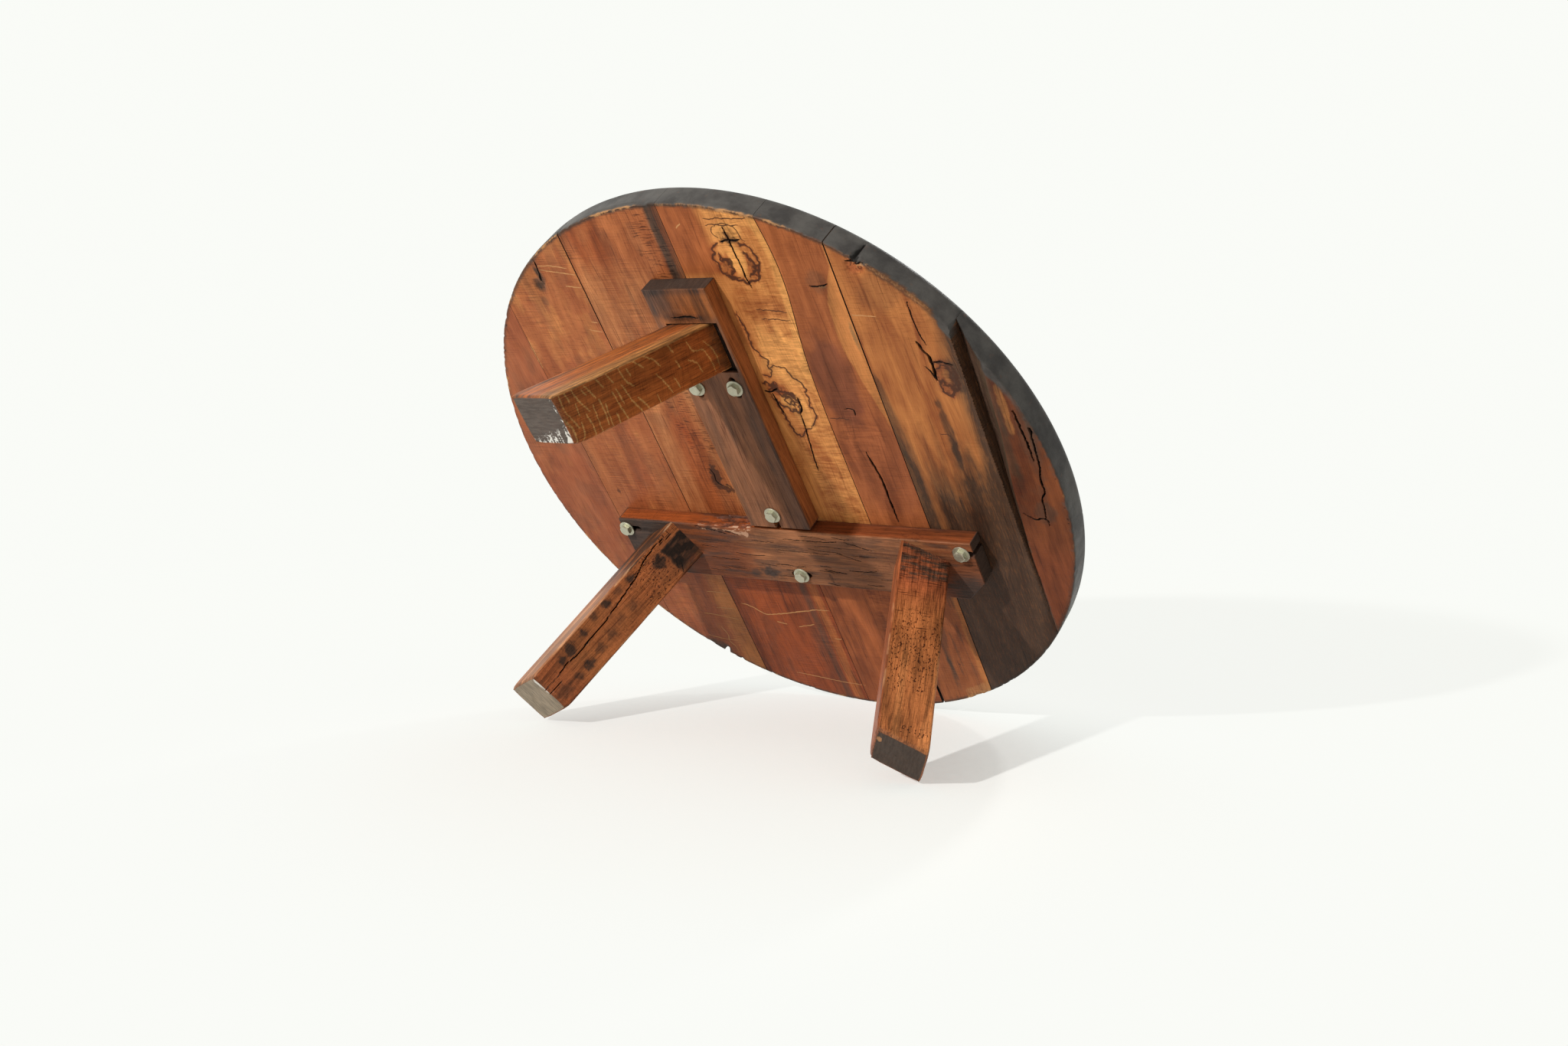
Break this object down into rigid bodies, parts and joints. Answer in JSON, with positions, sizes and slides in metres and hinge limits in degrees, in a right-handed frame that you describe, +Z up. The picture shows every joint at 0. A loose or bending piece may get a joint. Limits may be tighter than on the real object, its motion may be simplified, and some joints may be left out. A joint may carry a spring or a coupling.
{
  "type": "coffee table",
  "caption": "Low round coffee table: a thick plank top on a T of slotted beams, with square legs that splay outwards.",
  "frame": {"origin": "on the floor, straight below the centre of the round top", "axes": "+Z up; +Y along the boards of the top, towards the leg under the stem beam; +X towards the left leg"},
  "size_m": [0.9999, 0.9999, 0.4],
  "materials": {
    "board_1": "satin wax",
    "board_2": "satin wax",
    "board_3": "satin wax",
    "board_4": "satin wax",
    "board_5": "satin wax",
    "board_6": "satin wax",
    "board_7": "satin wax",
    "beam_wood": "matt, aged",
    "leg_wood": "satin wax",
    "zinc": "dull zinc plate",
    "screw_steel": "plain",
    "dowel_beech": "bare"
  },
  "bodies": {
    "root": {"top_board_1": "board_1", "top_board_2": "board_2", "top_board_3": "board_3", "top_board_4": "board_4", "top_board_5": "board_5", "top_board_6": "board_6", "top_board_7": "board_7", "seam_dowels_1": "dowel_beech", "seam_dowels_2": "dowel_beech", "seam_dowels_3": "dowel_beech", "seam_dowels_4": "dowel_beech", "seam_dowels_5": "dowel_beech", "seam_dowels_6": "dowel_beech", "stem_beam": "beam_wood", "cross_beam": "beam_wood", "leg_stem": "leg_wood", "leg_left": "leg_wood", "leg_right": "leg_wood", "coach_screws": "zinc", "washers": "zinc", "leg_screws_stem": "screw_steel", "leg_screws_left": "screw_steel", "leg_screws_right": "screw_steel"}
  },
  "joints": []
}
